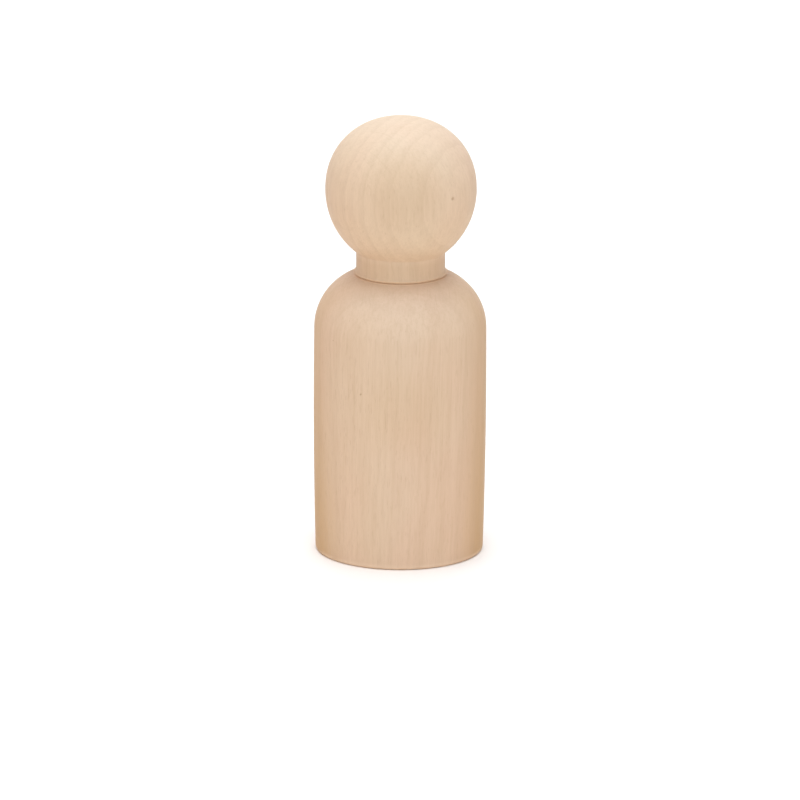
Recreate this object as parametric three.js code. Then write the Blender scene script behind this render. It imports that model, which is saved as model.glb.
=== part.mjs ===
// Turned wooden doll: a ball head on a short neck, plugged and glued into a round-shouldered body.
// Millimetres, +Z up, origin at the middle of the flat base.
import * as THREE from "three";

// Whole doll
const overallHeight = 65;

// Head: a ball, a little flattened at the crown and drawn down towards the neck
const headDiameter = 22.1;
const crownRise = 10.6; // from the widest line up to the crown
const crownFullness = 2.12; // 2 is a true ellipse, more is squarer with a flatter top
const chinDrop = 11.6; // from the widest line down to where the ball would close

// Neck: a straight stub that opens into a small foot on the shoulders
const neckDiameter = 13;
const neckLength = 3.25; // from the seam up to the corner under the head
const chinFillet = 0.3; // how far the corner under the head is softened
const neckFlare = 0.4; // how far the foot stands out beyond the neck
const flareHeight = 0.6;

// Body: a slightly swelling, tapering cylinder with rounded shoulders
const baseDiameter = 24.6;
const baseEdgeRadius = 0.5;
const shoulderDiameter = 25.2; // where the side turns into the shoulder
const shoulderRadius = 8.6;
const bodySwell = 0.155; // how far the side bows out between base and shoulder

// Seam: the fine groove where the neck's foot meets the body
const seamHalfWidth = 0.15;
const seamDepth = 0.22;

// Plugged joint: a round spigot under the neck, in a drilled blind socket in the body
const spigotDiameter = 8;
const spigotLength = 9;
const spigotBevel = 0.6;
const glueClearance = 0.1; // all round the spigot
const glueRoom = 0.8; // under the spigot's end
const socketBevel = 0.4; // at the socket's mouth
const drillPoint = 1.2; // depth of the cone that the drill leaves in the floor

// Facets
const facetsRound = 64;
const filletSteps = 4;
const sideSteps = 8;
const shoulderSteps = 12;
const chinSteps = 9;
const crownSteps = 14;

// Finish
const headColour = "#dfc3a2";
const bodyColour = "#dabd9b";
const sandedRoughness = 0.6;

// Places that follow from the sizes
const headRadius = headDiameter / 2;
const neckRadius = neckDiameter / 2;
const footRadius = neckRadius + neckFlare;
const spigotRadius = spigotDiameter / 2;
const headHeight = overallHeight - crownRise;
const cornerAngle = -Math.acos(neckRadius / headRadius);
const seatHeight = headHeight + chinDrop * Math.sin(cornerAngle) - neckLength;
const seamBottom = at(footRadius - seamDepth, seatHeight);

// A point of an outline
function at(radius, height) {
  return new THREE.Vector2(radius, height);
}

// Part of an ellipse, from one angle up to another
function arc(centre, across, up, from, to, steps) {
  return new THREE.EllipseCurve(centre.x, centre.y, across, up, from, to).getPoints(steps);
}

// A soft bend that leaves start and reaches end along the lines through corner
function bend(start, corner, end, steps) {
  return new THREE.QuadraticBezierCurve(start, corner, end).getPoints(steps);
}

// Spins an outline about the doll's axis
function turn(outline) {
  return new THREE.LatheGeometry(outline, facetsRound).rotateX(Math.PI / 2);
}

// The spigot, from the middle of its end up to the flat that sits on the body
function spigot() {
  const end = seatHeight - spigotLength;
  return [
    at(0, end),
    at(spigotRadius - spigotBevel, end),
    at(spigotRadius, end + spigotBevel),
    at(spigotRadius, seatHeight),
    seamBottom,
  ];
}

// The neck's foot, from the upper lip of the seam in to the straight neck
function neckFoot() {
  const lip = seatHeight + seamHalfWidth;
  return bend(at(footRadius, lip), at(neckRadius, lip), at(neckRadius, lip + flareHeight), filletSteps);
}

// The ball below its widest line, with a soft corner that runs out of the neck and into the ball in line
function chin() {
  const joinAngle = cornerAngle + chinFillet / headRadius;
  const ball = arc(at(0, headHeight), headRadius, chinDrop, joinAngle, 0, chinSteps);
  const [join] = ball;
  const slope = (chinDrop * Math.cos(joinAngle)) / (-headRadius * Math.sin(joinAngle));
  const corner = at(neckRadius, join.y - (join.x - neckRadius) * slope);
  const neckTop = at(neckRadius, corner.y - chinFillet);
  return [...bend(neckTop, corner, join, filletSteps), ...ball.slice(1)];
}

// The ball above its widest line: a quarter of a superellipse, up to the axis
function crown() {
  const power = 2 / crownFullness;
  const points = [];
  for (let step = 1; step < crownSteps; step += 1) {
    const angle = ((step / crownSteps) * Math.PI) / 2;
    const rise = crownRise * Math.sin(angle) ** power;
    points.push(at(headRadius * Math.cos(angle) ** power, headHeight + rise));
  }
  return [...points, at(0, overallHeight)];
}

// The outside of the body, from the middle of the base up to the lower lip of the seam
function bodySide() {
  const baseRadius = baseDiameter / 2;
  const sideTop = shoulderDiameter / 2;
  const edgeCentre = at(baseRadius - baseEdgeRadius, baseEdgeRadius);
  const shoulderInset = sideTop - shoulderRadius;
  const shoulderEnd = Math.acos((footRadius - shoulderInset) / shoulderRadius);
  const shoulderStart = seatHeight - seamHalfWidth - shoulderRadius * Math.sin(shoulderEnd);
  const shoulderCentre = at(shoulderInset, shoulderStart);
  const bow = at((baseRadius + sideTop) / 2 + 2 * bodySwell, (baseEdgeRadius + shoulderStart) / 2);
  const baseEdge = arc(edgeCentre, baseEdgeRadius, baseEdgeRadius, -Math.PI / 2, 0, filletSteps);
  const side = bend(at(baseRadius, baseEdgeRadius), bow, at(sideTop, shoulderStart), sideSteps);
  const shoulder = arc(shoulderCentre, shoulderRadius, shoulderRadius, 0, shoulderEnd, shoulderSteps);
  return [at(0, 0), ...baseEdge, ...side.slice(1), ...shoulder.slice(1)];
}

// The seat and the drilled socket, from the bottom of the seam in to the middle of the socket's floor
function socket() {
  const radius = spigotRadius + glueClearance;
  const floor = seatHeight - spigotLength - glueRoom;
  return [
    seamBottom,
    at(radius + socketBevel, seatHeight),
    at(radius, seatHeight - socketBevel),
    at(radius, floor),
    at(0, floor - drillPoint),
  ];
}

function turnedPiece(name, outline, colour) {
  const wood = new THREE.MeshStandardMaterial({ color: colour, roughness: sandedRoughness, metalness: 0 });
  const piece = new THREE.Mesh(turn(outline), wood);
  piece.name = name;
  return piece;
}

const doll = new THREE.Group();
doll.name = "wooden_doll";
doll.add(turnedPiece("body", [...bodySide(), ...socket()], bodyColour));
doll.add(turnedPiece("head_with_neck", [...spigot(), ...neckFoot(), ...chin(), ...crown()], headColour));

export default doll;
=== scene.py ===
import math
import bpy
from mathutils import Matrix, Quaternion, Vector
from mathutils.geometry import interpolate_bezier


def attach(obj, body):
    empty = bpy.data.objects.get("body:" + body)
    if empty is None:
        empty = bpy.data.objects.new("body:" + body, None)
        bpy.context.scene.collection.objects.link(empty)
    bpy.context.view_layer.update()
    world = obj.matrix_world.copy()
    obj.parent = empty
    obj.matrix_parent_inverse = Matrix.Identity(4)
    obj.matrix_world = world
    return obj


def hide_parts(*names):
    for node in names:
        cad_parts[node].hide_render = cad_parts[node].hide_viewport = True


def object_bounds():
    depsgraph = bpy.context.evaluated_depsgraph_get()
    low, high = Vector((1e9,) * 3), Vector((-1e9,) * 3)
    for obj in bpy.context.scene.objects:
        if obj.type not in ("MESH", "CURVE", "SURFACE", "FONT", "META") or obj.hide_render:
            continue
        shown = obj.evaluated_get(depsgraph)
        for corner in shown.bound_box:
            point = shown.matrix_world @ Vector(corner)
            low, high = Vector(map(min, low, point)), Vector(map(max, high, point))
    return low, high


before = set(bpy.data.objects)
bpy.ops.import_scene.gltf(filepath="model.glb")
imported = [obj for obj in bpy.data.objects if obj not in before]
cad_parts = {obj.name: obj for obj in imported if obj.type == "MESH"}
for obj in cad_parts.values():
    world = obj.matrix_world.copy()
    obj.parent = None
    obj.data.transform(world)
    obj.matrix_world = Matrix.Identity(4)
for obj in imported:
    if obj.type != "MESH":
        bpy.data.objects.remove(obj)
cadLow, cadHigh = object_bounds()
dollHeight = cadHigh.z - cadLow.z
millimetre = 0.001
micrometre = millimetre / 1000

scene = bpy.context.scene
scene.view_settings.view_transform = "Standard"
print("frame loaded, doll is", round(dollHeight / millimetre, 2), "mm high")


# one socket in a node tree; arithmetic on it adds Math nodes
class Wire:
    def __init__(self, tree, socket):
        self.tree = tree
        self.socket = socket

    # any node: settings go in first, then values or links by socket name or number
    @classmethod
    def add(cls, tree, kind, settings=None, values=None, out=0):
        node = tree.nodes.new(kind)
        for name, value in (settings or {}).items():
            setattr(node, name, value)
        for key, value in (values or {}).items():
            if isinstance(value, Wire):
                tree.links.new(value.socket, node.inputs[key])
            else:
                node.inputs[key].default_value = value
        return cls(tree, node.outputs[out]) if node.outputs else node

    def maths(self, operation, first, second=0.0):
        return Wire.add(self.tree, "ShaderNodeMath", {"operation": operation}, {0: first, 1: second})

    def __add__(self, other):
        return self.maths("ADD", self, other)

    def __sub__(self, other):
        return self.maths("SUBTRACT", self, other)

    def __rsub__(self, other):
        return self.maths("SUBTRACT", other, self)

    def __mul__(self, other):
        return self.maths("MULTIPLY", self, other)

    def __truediv__(self, other):
        return self.maths("DIVIDE", self, other)

    def __pow__(self, other):
        return self.maths("POWER", self, other)

    __radd__ = __add__
    __rmul__ = __mul__

    # 0 below low, 1 above high, soft between
    def between(self, low, high):
        values = {"Value": self, 1: low, 2: high}
        return Wire.add(self.tree, "ShaderNodeMapRange", {"interpolation_type": "SMOOTHSTEP"}, values)

    def axis(self, number):
        return Wire.add(self.tree, "ShaderNodeSeparateXYZ", {}, {0: self}, number)

    # a vector with each axis scaled by its own amount
    def scaled(self, x, y, z):
        settings = {"operation": "MULTIPLY"}
        return Wire.add(self.tree, "ShaderNodeVectorMath", settings, {0: self, 1: (x, y, z)})

    def distanceTo(self, point):
        settings = {"operation": "DISTANCE"}
        return Wire.add(self.tree, "ShaderNodeVectorMath", settings, {0: self, 1: point}, 1)

    # this much of the second colour over the first
    def blend(self, first, second):
        values = {0: self, 6: first, 7: second}
        return Wire.add(self.tree, "ShaderNodeMix", {"data_type": "RGBA"}, values, 2)


# camera
shot = {
    "lookDown": 15.46,       # degrees below the horizon
    "distance": 1.5,         # metres to the middle of the doll
    "pixelsPerMetre": 6842,  # at the middle of the doll
    "middleColumn": 399.9,   # pixel where the middle of the doll shows
    "middleRow": 333.4,
    "pictureSize": 800,
    "lean": 0.30,            # degrees that the doll leans to the right in the picture
}


def placeCamera():
    tilt = math.radians(shot["lookDown"])
    middle = Vector((0, 0, cadLow.z + dollHeight / 2))
    back = Vector((0, -math.cos(tilt), math.sin(tilt)))
    up = Vector((0, math.sin(tilt), math.cos(tilt)))
    half = shot["pictureSize"] / 2
    rise = (half - shot["middleRow"]) / shot["pixelsPerMetre"]
    aside = (half - shot["middleColumn"]) / shot["pixelsPerMetre"]
    data = bpy.data.cameras.new("camera")
    data.lens = data.sensor_width * shot["pixelsPerMetre"] * shot["distance"] / shot["pictureSize"]
    data.clip_start = 0.05
    data.clip_end = 20
    camera = bpy.data.objects.new("camera", data)
    camera.location = middle + back * shot["distance"]
    aim = middle - up * rise + Vector((aside, 0, 0)) - camera.location
    camera.rotation_mode = "QUATERNION"
    roll = Quaternion((0, 0, 1), math.radians(shot["lean"]))
    camera.rotation_quaternion = aim.to_track_quat("-Z", "Y") @ roll
    scene.collection.objects.link(camera)
    scene.camera = camera


placeCamera()
print("camera placed")

# light: cool soft boxes above, in front and behind, warm ones at the sides, together about white on the
# doll's front; places and sizes in metres
coolWhite = (0.796, 0.908, 1.0)
warmWhite = (1.0, 0.684, 0.502)
softBoxes = {
    "overhead": {"place": (0.0, 0.0, 1.0), "size": (0.9, 0.9), "power": 8.1, "colour": coolWhite},
    "upperFront": {"place": (0.0, -0.7, 0.9), "size": (0.8, 0.6), "power": 2.77, "colour": coolWhite},
    "front": {"place": (0.0, -1.25, 0.55), "size": (0.8, 0.6), "power": 2.02, "colour": coolWhite},
    "lowFront": {"place": (0.0, -1.4, 0.15), "size": (0.8, 0.25), "power": 3.72, "colour": coolWhite},
    "left": {"place": (-1.1, -0.1, 0.7), "size": (0.7, 0.7), "power": 2.37, "colour": warmWhite},
    "right": {"place": (1.25, 0.0, 0.45), "size": (0.7, 0.7), "power": 1.95, "colour": warmWhite},
    "back": {"place": (0.0, 0.9, 0.8), "size": (0.8, 0.6), "power": 4.9, "colour": coolWhite},
}
room = {"fill": coolWhite, "fillStrength": 0.372, "background": 1.0}
floorLook = {
    "size": 0.9,
    "white": (1.0, 0.92, 0.86),    # as the camera sees it, white under the cool light
    "bounce": (0.88, 0.77, 0.64),  # the light that it throws back on the doll
    "roughness": 0.9,
}


def hangSoftBoxes():
    middle = Vector((0, 0, dollHeight / 2))
    for name, box in softBoxes.items():
        data = bpy.data.lights.new(name, "AREA")
        data.shape = "RECTANGLE"
        data.size, data.size_y = box["size"]
        data.energy = box["power"]
        data.color = box["colour"]
        lamp = bpy.data.objects.new(name, data)
        lamp.location = box["place"]
        lamp.rotation_mode = "QUATERNION"
        lamp.rotation_quaternion = (middle - lamp.location).to_track_quat("-Z", "Y")
        scene.collection.objects.link(lamp)


# 1 where the camera, a reflection or a clear body looks, 0 for the light that falls on the doll
def looking(tree):
    camera, glossy, through = (Wire.add(tree, "ShaderNodeLightPath", out=name)
                               for name in ("Is Camera Ray", "Is Glossy Ray", "Is Transmission Ray"))
    return camera.maths("MINIMUM", camera + glossy + through, 1.0)


def paintRoom():
    world = bpy.data.worlds.new("room")
    world.use_nodes = True
    scene.world = world
    tree = world.node_tree
    tree.nodes.clear()
    fill = Wire.add(tree, "ShaderNodeBackground", {}, {0: (*room["fill"], 1), 1: room["fillStrength"]})
    white = Wire.add(tree, "ShaderNodeBackground", {}, {0: (1, 1, 1, 1), 1: room["background"]})
    mixed = Wire.add(tree, "ShaderNodeMixShader", {}, {0: looking(tree), 1: fill, 2: white})
    Wire.add(tree, "ShaderNodeOutputWorld", {}, {0: mixed})


def layFloor():
    half = floorLook["size"] / 2
    corners = [(-half, -half, 0), (half, -half, 0), (half, half, 0), (-half, half, 0)]
    mesh = bpy.data.meshes.new("floor")
    mesh.from_pydata(corners, [], [(0, 1, 2, 3)])
    floor = bpy.data.objects.new("floor", mesh)
    scene.collection.objects.link(floor)
    paint = bpy.data.materials.new("paleFloor")
    paint.use_nodes = True
    tree = paint.node_tree
    shader = tree.nodes["Principled BSDF"]
    colour = looking(tree).blend((*floorLook["bounce"], 1), (*floorLook["white"], 1))
    tree.links.new(colour.socket, shader.inputs["Base Color"])
    shader.inputs["Roughness"].default_value = floorLook["roughness"]
    shader.inputs["Specular IOR Level"].default_value = 0
    mesh.materials.append(paint)


hangSoftBoxes()
paintRoom()
layFloor()
print("light and floor set")


# outline of a turned node, read along its edges on one side from the lowest point of its axis
def ringsOf(nodeName):
    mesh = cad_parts[nodeName].data
    onSide = {v.index: (round(v.co.x / micrometre), round(v.co.z / micrometre))
              for v in mesh.vertices if abs(v.co.y) < micrometre and v.co.x > -micrometre}
    joined = {}
    for edge in mesh.edges:
        if all(i in onSide for i in edge.vertices):
            a, b = (onSide[i] for i in edge.vertices)
            joined.setdefault(a, set()).add(b)
            joined.setdefault(b, set()).add(a)
    ends = [ring for ring, others in joined.items() if len(others) == 1]
    walk = [min(ends, key=lambda ring: ring[1])]
    while len(walk) < len(joined):
        walk.append(next(ring for ring in joined[walk[-1]] if ring not in walk))
    return [Vector((radius, 0, height)) * micrometre for radius, height in walk]


outlining = {
    "spacing": 0.25 * millimetre,  # between rings of the finished piece
    "cornerAngle": 35,             # degrees; sharper bends stay corners
}


# direction and reach of the outline at the ring between two steps; a corner keeps each step's own direction
def runThrough(step, neighbour):
    sharp = math.radians(outlining["cornerAngle"])
    if neighbour is None or step.angle(neighbour) > sharp:
        return step.normalized(), step.length / 3
    return (step + neighbour).normalized(), min(step.length, neighbour.length) / 3


# the same outline with its round stretches drawn smooth and its corners kept
def smoothOutline(rings):
    steps = [b - a for a, b in zip(rings, rings[1:])]
    points = [rings[0]]
    for before, step, after, start, end in zip([None, *steps], steps, [*steps[1:], None], rings, rings[1:]):
        leaving, startReach = runThrough(step, before)
        arriving, endReach = runThrough(step, after)
        count = max(2, round(step.length / outlining["spacing"]) + 1)
        handles = start + leaving * startReach, end - arriving * endReach
        points += interpolate_bezier(start, *handles, end, count)[1:]
    return points


bodyRings = ringsOf("body")
headRings = ringsOf("head_with_neck")
seam = next(ring for ring in bodyRings if ring in headRings)  # bottom of the groove, where the pieces meet
print("outlines read, seam at", [round(x / millimetre, 2) for x in (seam.x, seam.z)], "mm")


# Geometry Nodes lathe: spins an outline about Z, cuts faint ring marks of the tool into what shows,
# keeps how far each spot is end grain as an attribute, and sets the wood
def latheTree():
    tree = bpy.data.node_groups.new("lathe", "GeometryNodeTree")
    face = tree.interface
    face.new_socket("Geometry", in_out="OUTPUT", socket_type="NodeSocketGeometry")
    face.new_socket("Outline", in_out="INPUT", socket_type="NodeSocketGeometry")
    for name, kind in (("Facets Round", "Int"), ("Tool Mark Depth", "Float"), ("Tool Mark Pitch", "Float"),
                       ("Out Of Round", "Float"), ("Seed", "Float"), ("Wood", "Material")):
        face.new_socket(name, in_out="INPUT", socket_type="NodeSocket" + kind)
    ask = tree.nodes.new("NodeGroupInput")
    given = {socket.name: Wire(tree, socket) for socket in ask.outputs if socket.name}
    outline, facets = given["Outline"], given["Facets Round"]

    def node(kind, settings=None, values=None, out=0):
        return Wire.add(tree, kind, settings, values, out)

    ringCount = node("GeometryNodeAttributeDomainSize", {"component": "MESH"}, {0: outline})
    across = facets + 1
    grid = node("GeometryNodeMeshGrid", {}, {"Vertices X": ringCount, "Vertices Y": across})
    index = node("GeometryNodeInputIndex")
    ring = index.maths("FLOOR", (index + 0.5) / across)  # half a step keeps rounding inside its ring
    column = index - ring * across
    turn = column / facets * math.tau

    def sampled(value, number, kind="FLOAT"):
        settings = {"data_type": kind, "clamp": True}
        return node("GeometryNodeSampleIndex", settings, {0: outline, 1: value, "Index": number})

    def kept(name):
        return sampled(node("GeometryNodeInputNamedAttribute", {}, {0: name}), ring)

    spot = node("GeometryNodeInputPosition")
    point, ahead, behind = (sampled(spot, ring + step, "FLOAT_VECTOR") for step in (0, 1, -1))
    run = node("ShaderNodeVectorMath", {"operation": "SUBTRACT"}, {0: ahead, 1: behind})
    run = node("ShaderNodeVectorMath", {"operation": "NORMALIZE"}, {0: run})
    outwards, upwards = run.axis(2), 0 - run.axis(0)  # a quarter turn from the way the outline runs
    marks = kept("along") / given["Tool Mark Pitch"]
    groove = node("ShaderNodeCombineXYZ", {}, {0: marks, 1: given["Seed"]})
    ripple = node("ShaderNodeTexNoise", {"noise_dimensions": "2D"},
                  {"Vector": groove, "Scale": 1.0, "Detail": 1.0})
    depth = ripple * given["Tool Mark Depth"] * kept("shows")
    oval = 1 + turn.maths("COSINE", turn * 2 + given["Seed"]) * given["Out Of Round"]
    offAxis = turn.maths("GREATER_THAN", point.axis(0), micrometre)  # the poles stay single points
    radius = (point.axis(0) * oval - outwards * depth) * offAxis
    height = point.axis(2) - upwards * depth
    cosine, sine = (turn.maths(name, turn) for name in ("COSINE", "SINE"))
    place = node("ShaderNodeCombineXYZ", {}, {0: radius * cosine, 1: radius * sine, 2: height})
    spun = node("GeometryNodeSetPosition", {}, {0: grid, "Position": place})
    cut = upwards.maths("ABSOLUTE", upwards)
    told = node("GeometryNodeStoreNamedAttribute", {"data_type": "FLOAT", "domain": "POINT"},
                {0: spun, "Name": "endGrain", "Value": cut})
    closed = node("GeometryNodeMergeByDistance", {}, {0: told, "Distance": micrometre / 10})
    outward = node("GeometryNodeFlipFaces", {}, {0: closed})
    bent = node("GeometryNodeInputMeshEdgeAngle")
    smooth = bent.maths("LESS_THAN", bent, math.radians(outlining["cornerAngle"]))
    eased = node("GeometryNodeSetShadeSmooth", {"domain": "EDGE"}, {0: outward, "Shade Smooth": smooth})
    rounded = node("GeometryNodeSetShadeSmooth", {"domain": "FACE"}, {0: eased, "Shade Smooth": True})
    whole = node("GeometryNodeRealizeInstances", {}, {0: rounded})
    finished = node("GeometryNodeSetMaterial", {}, {0: whole, "Material": given["Wood"]})
    node("NodeGroupOutput", {}, {0: finished})
    return tree


lathe = latheTree()


def turnPiece(name, rings, settings, wood):
    points = smoothOutline(rings)
    mesh = bpy.data.meshes.new(name)
    mesh.from_pydata(points, [(i, i + 1) for i in range(len(points) - 1)], [])
    lengths = [0.0]
    for a, b in zip(points, points[1:]):
        lengths.append(lengths[-1] + (b - a).length)
    seamAt = min(range(len(points)), key=lambda i: (points[i] - seam).length)
    # the tool marks stop at the seam: the body's outline ends inside the joint and the head's starts there
    hidden = range(seamAt, len(points)) if points[0].z < seam.z / 2 else range(seamAt + 1)
    mesh.attributes.new("along", "FLOAT", "POINT").data.foreach_set("value", lengths)
    mesh.attributes.new("shows", "FLOAT", "POINT").data.foreach_set(
        "value", [0.0 if i in hidden else 1.0 for i in range(len(points))])
    piece = bpy.data.objects.new(name, mesh)
    scene.collection.objects.link(piece)
    spin = piece.modifiers.new("lathe", "NODES")
    spin.node_group = lathe
    labels = {item.name: item.identifier for item in lathe.interface.items_tree if item.in_out == "INPUT"}
    for label, value in {**settings, "Wood": wood}.items():
        spin[labels[label]] = value
    turned = bpy.data.meshes.new_from_object(piece.evaluated_get(bpy.context.evaluated_depsgraph_get()))
    piece.modifiers.clear()
    piece.data = turned
    turned.name = name
    print(name, "turned:", len(turned.vertices), "points", len(turned.polygons), "faces")
    return piece


# how strongly each part of the grain shows, for both pieces; lengths in millimetres
grain = {
    "drift": 2.6,             # how far the growth rings wander from true circles
    "wobble": 0.4,
    "lateWood": (0.2, 0.93),  # share of a year over which its ring darkens
    "faintYear": 0.35,        # how much the faintest year shows beside the strongest
    "sideShadeBorder": (5.4, 10.2),   # the wood's deeper tone, painted shade of the body's sides, turns pale between these, from the doll's axis outwards in the log
    "sideShadeCore": (-12, -2),   # and keeps half of its deeper tone below these
    "ragged": 0.8,            # how far the fibres fray that border
    "fibres": 0.12,
    "hairs": 0.1,
    "pores": 0.12,
    "rays": 0.09,
    "ends": 0.12,             # end grain, where the fibres are cut across
    "groove": 0.3,            # paler colour in the seam's groove: painted light that lifts its shade
    "edgeWearAndLight": 0.6,               # paler wood where the base's edge wears, and painted light there against the floor's contact shade
    "knots": 0.6,
    "relief": 0.012,          # height of the fibres left by sanding
    "roughness": 0.55,
    "gloss": 0.25,
}
# the grain's patterns: repeats in a millimetre, twice across the grain and then along it, and what shows
patterns = {
    "drift": {"repeats": (0.05, 0.05, 0.012), "detail": 2.0},
    "wobble": {"repeats": (0.4, 0.4, 0.03), "detail": 2.0},
    "fibres": {"repeats": (2.2, 2.2, 0.08), "detail": 3.0, "shows": (0.35, 0.75)},
    "hairs": {"repeats": (8.0, 8.0, 0.22), "detail": 2.0, "shows": (0.35, 0.75)},
    "streaks": {"repeats": (0.5, 0.5, 0.015), "detail": 2.0, "shows": (0.4, 0.7)},
    "pores": {"repeats": (6.0, 6.0, 0.5), "detail": 1.0, "shows": (0.63, 0.73)},
    "rays": {"repeats": (4.5, 0.08, 0.6), "detail": 1.0, "shows": (0.62, 0.72)},
    "tone": {"repeats": (0.07, 0.07, 0.04), "detail": 2.0, "shows": (0.35, 0.65)},
    "wear": {"repeats": (0.5, 0.5, 0.5), "detail": 2.0, "shows": (0.35, 0.7)},
}
# where tones and marks start and stop, in millimetres
zones = {
    "lower": (2.0, 34.0),   # heights over which the deeper foot of the log's inner tone and painted side shade ends
    "upper": (34.0, 43.0),  # heights over which the log's inner tone and painted side shade fades
    "groove": (0.2, 0.4),   # from the bottom of the seam
    "neckShade": (2.2, 3.6),  # painted shade on the neck under the head, from the bottom of the seam
    "edgeWearAndLight": (0.2, 0.9),      # from the edge of the base
}
# what each mark adds to the roughness, and how far it stands up or lies deep beside the relief
roughening = {"fibres": 0.1, "pores": 0.12, "ends": 0.06, "edgeWearAndLight": -0.1}
standing = {"fibres": 0.5, "hairs": 0.3, "rings": 0.4, "pores": -1.6, "knots": -6.0}
# the log that each piece was cut from; colours are linear
bodyLog = {
    "pale": (0.716, 0.514, 0.364),
    "pinkish": (0.722, 0.499, 0.355),
    # the next colour is the wood's deeper tone, also used for painted shade
    "deepToneAndShade": (0.59, 0.367, 0.188),
    "dark": (0.448, 0.264, 0.136),
    "wearAndLight": (0.897, 0.683, 0.517),
    "grooveLight": (0.885, 0.621, 0.395),
    "pore": (0.425, 0.248, 0.141),
    "pith": 36.0,            # from the doll's axis to the middle of the log
    "turn": 90.0,            # degrees that the log is turned about the doll's axis
    "lean": (1.5, -1.2),     # degrees between the grain and the doll's axis
    "ringWidth": 2.3,
    "rings": 0.07,
    "streaks": 0.09,
    "heartAndSideShade": 0.57,           # deeper tone of the years nearer the middle of the log, painted shade of the body's sides
    "deepens": 0.4,          # more of it towards the base
    "fades": 0.7,            # less of it towards the shoulders
    "neckShade": 0.0,          # painted shade by the seam, on the neck under the head
    "knots": [((-5.7, -11.3, 26.4), 0.14), ((-9.8, -8.0, 33.6), 0.12)],
    "frontPatch": ((0.5, -12.4, 24.0), 9.0, 0.2),  # place, radius and strength of one soft deeper, warmer patch on the front
}
headLog = {
    "pale": (0.767, 0.569, 0.404),
    "pinkish": (0.773, 0.554, 0.395),
    # the next colour is the wood's deeper tone, also used for painted shade
    "deepToneAndShade": (0.614, 0.398, 0.235),
    "dark": (0.472, 0.295, 0.174),
    "wearAndLight": (0.897, 0.683, 0.517),
    "grooveLight": (0.885, 0.621, 0.395),
    "pore": (0.425, 0.248, 0.141),
    "pith": 24.0,
    "turn": 34.0,
    "lean": (-2.0, 2.5),
    "ringWidth": 1.7,
    "rings": 0.12,
    "streaks": 0.05,
    "heartAndSideShade": 0.08,
    "deepens": 0.0,
    "fades": 0.0,
    "neckShade": 0.43,
    "knots": [((7.5, -8.1, 55.0), 0.3)],
    "frontPatch": ((0.6, -10.4, 57.0), 8.5, 0.42),
}


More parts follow.
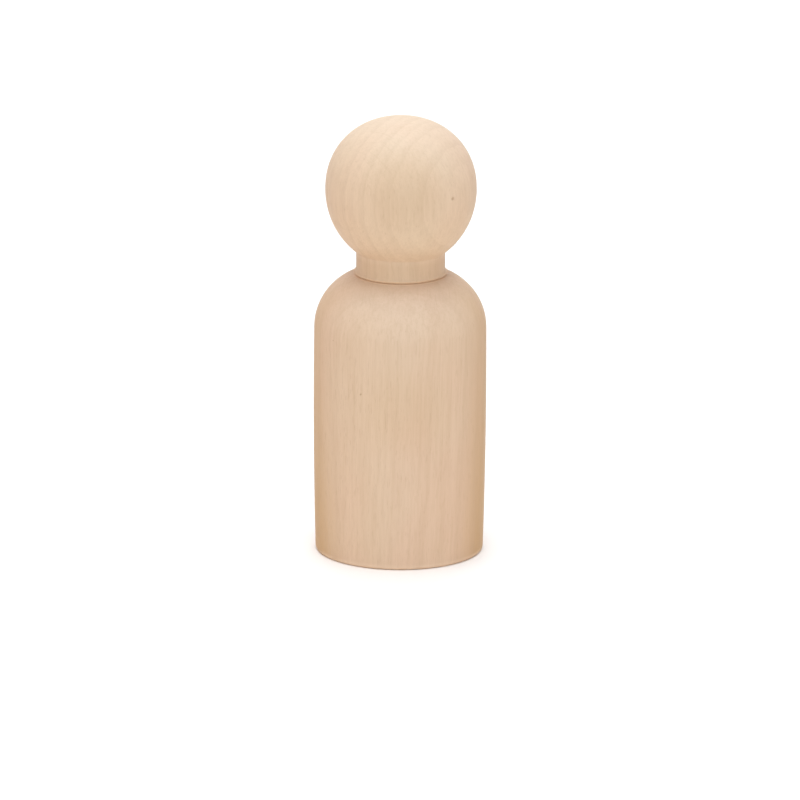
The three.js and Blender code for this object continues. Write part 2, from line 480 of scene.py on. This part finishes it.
# bare sanded wood, the same inside as outside: rings, fibres, pores and rays all run through the piece
def bareWood(name, log):
    wood = bpy.data.materials.new(name)
    wood.use_nodes = True
    tree = wood.node_tree
    shader = tree.nodes["Principled BSDF"]

    def node(kind, settings=None, values=None, out=0):
        return Wire.add(tree, kind, settings, values, out)

    def noise(name, where):
        pattern = patterns[name]
        values = {"Vector": where.scaled(*pattern["repeats"]), "Scale": 1.0,
                  "Detail": pattern["detail"], "Roughness": 0.55}
        return node("ShaderNodeTexNoise", {}, values)

    def shown(name, where):
        return noise(name, where).between(*patterns[name]["shows"])

    place = node("ShaderNodeTexCoord", out="Object").scaled(*[1 / millimetre] * 3)
    turn = [math.radians(angle) for angle in (*log["lean"], log["turn"])]
    toPith = (log["pith"], 0, 0)
    inLog = node("ShaderNodeMapping", {}, {"Vector": place, "Location": toPith, "Rotation": turn})
    x, y, z = (inLog.axis(i) for i in range(3))

    # a year's ring darkens slowly and ends sharply, and some years show more than others
    drift = (noise("drift", inLog) - 0.5) * grain["drift"]
    wobble = (noise("wobble", inLog) - 0.5) * grain["wobble"]
    across = (x * x + y * y) ** 0.5 + drift + wobble
    years = across / log["ringWidth"]
    year = years.maths("FRACT", years)
    number = years.maths("FLOOR", years)
    chance = node("ShaderNodeTexWhiteNoise", {"noise_dimensions": "1D"}, {"W": number})
    strength = grain["faintYear"] + (1 - grain["faintYear"]) * chance
    late = year.between(*grain["lateWood"]) * (1 - year.between(grain["lateWood"][1], 1.0)) * strength

    fibres, hairs, streaks, pores = (shown(name, inLog) for name in ("fibres", "hairs", "streaks", "pores"))
    arc = y.maths("ARCTAN2", y, x) * log["pith"]
    rays = shown("rays", node("ShaderNodeCombineXYZ", {}, {0: arc, 1: across, 2: z}))
    tone = shown("tone", place)
    ends = node("ShaderNodeAttribute", {"attribute_name": "endGrain"}, out="Fac").between(0.8, 1.0)

    # painted shade of the body's sides and foot, drawn as a deeper tone of the years nearer the middle of
    # the log, most at the border and low down
    fromBorder = across - log["pith"] + grain["ragged"] * (fibres - 0.5)
    inner = 0.5 + 0.5 * fromBorder.between(*grain["sideShadeCore"])
    heartAndSideShade = (1 - fromBorder.between(*grain["sideShadeBorder"])) * inner
    nearBase = 1 - place.axis(2).between(*zones["lower"])
    nearTop = place.axis(2).between(*zones["upper"])
    heartAndSideShade = heartAndSideShade * (log["heartAndSideShade"] + log["deepens"] * nearBase) * (1 - log["fades"] * nearTop)

    # painted shade on the neck, the base's edge paler from wear and from painted light against its contact
    # shade, and painted light in the seam's groove
    fromAxis = place.scaled(1, 1, 0).distanceTo((0, 0, 0))
    outline = node("ShaderNodeCombineXYZ", {}, {0: fromAxis, 2: place.axis(2)})
    fromSeam = outline.distanceTo(seam / millimetre)
    # painted light: paler colour in the seam's groove that lifts its shade
    groove = 1 - fromSeam.between(*zones["groove"])
    # painted shade around the seam, on the neck under the head
    neckShade = 1 - fromSeam.between(*zones["neckShade"])
    baseEdge = max(ring.x for ring in bodyRings if ring.z < millimetre / 2)
    fromEdge = outline.distanceTo((baseEdge / millimetre, 0, 0))
    # the base's edge: paler and smoother from wear, and painted light that lifts the contact shade there
    edgeWearAndLight = (1 - fromEdge.between(*zones["edgeWearAndLight"])) * (0.5 + 0.5 * shown("wear", place))
    spots = 0.0
    for spot, radius in log["knots"]:
        spots = spots + (1 - place.distanceTo(spot).between(radius * 0.3, radius * 1.2))
    # a soft deeper, warmer patch on the front
    middle, reach, depth = log["frontPatch"]
    frontPatch = (1 - (place.distanceTo(middle) + drift).between(reach * 0.2, reach)) * depth

    # tones and marks from the lowest up, each with its colour
    layers = [
        # painted shade at the body's sides and foot, laid out through the log's inner years
        (heartAndSideShade, "deepToneAndShade"),
        # painted shade on the neck under the head
        (neckShade * log["neckShade"], "deepToneAndShade"),
        (frontPatch, "deepToneAndShade"),
        (late * log["rings"], "dark"),
        (streaks * log["streaks"], "dark"),
        (fibres * grain["fibres"], "dark"),
        (hairs * grain["hairs"], "dark"),
        (rays * grain["rays"], "dark"),
        (ends * grain["ends"], "dark"),
        (pores * grain["pores"], "pore"),
        (spots * grain["knots"], "pore"),
        # wear and painted light on the base's edge
        (edgeWearAndLight * grain["edgeWearAndLight"], "wearAndLight"),
        # painted light in the seam's groove
        (groove * grain["groove"], "grooveLight"),
    ]
    colour = tone.blend((*log["pale"], 1), (*log["pinkish"], 1))
    for amount, tint in layers:
        colour = amount.blend(colour, (*log[tint], 1))
    tree.links.new(colour.socket, shader.inputs["Base Color"])

    marks = {"fibres": fibres - 0.5, "pores": pores, "ends": ends, "edgeWearAndLight": edgeWearAndLight}
    roughness = grain["roughness"]
    for mark, amount in roughening.items():
        roughness = roughness + marks[mark] * amount
    tree.links.new(roughness.socket, shader.inputs["Roughness"])
    shader.inputs["Specular IOR Level"].default_value = grain["gloss"]

    marks = {"fibres": fibres, "hairs": hairs, "rings": late, "pores": pores, "knots": spots}
    height = 0.0
    for mark, amount in standing.items():
        height = height + marks[mark] * (amount * grain["relief"])
    bump = node("ShaderNodeBump", {}, {"Strength": 1.0, "Distance": millimetre, "Height": height})
    tree.links.new(bump.socket, shader.inputs["Normal"])
    return wood


bodyTurning = {
    "Facets Round": 320,
    "Tool Mark Depth": 0.004 * millimetre,
    "Tool Mark Pitch": 0.9 * millimetre,
    "Out Of Round": 0.0004,
    "Seed": 3.0,
}
headTurning = {**bodyTurning, "Seed": 8.0}
body = turnPiece("turnedBody", bodyRings, bodyTurning, bareWood("bodyWood", bodyLog))
head = turnPiece("turnedHead", headRings, headTurning, bareWood("headWood", headLog))

for piece, node, slot in ((body, "body", "body_wood"), (head, "head_with_neck", "head_wood")):
    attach(piece, "root")
    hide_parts(node)
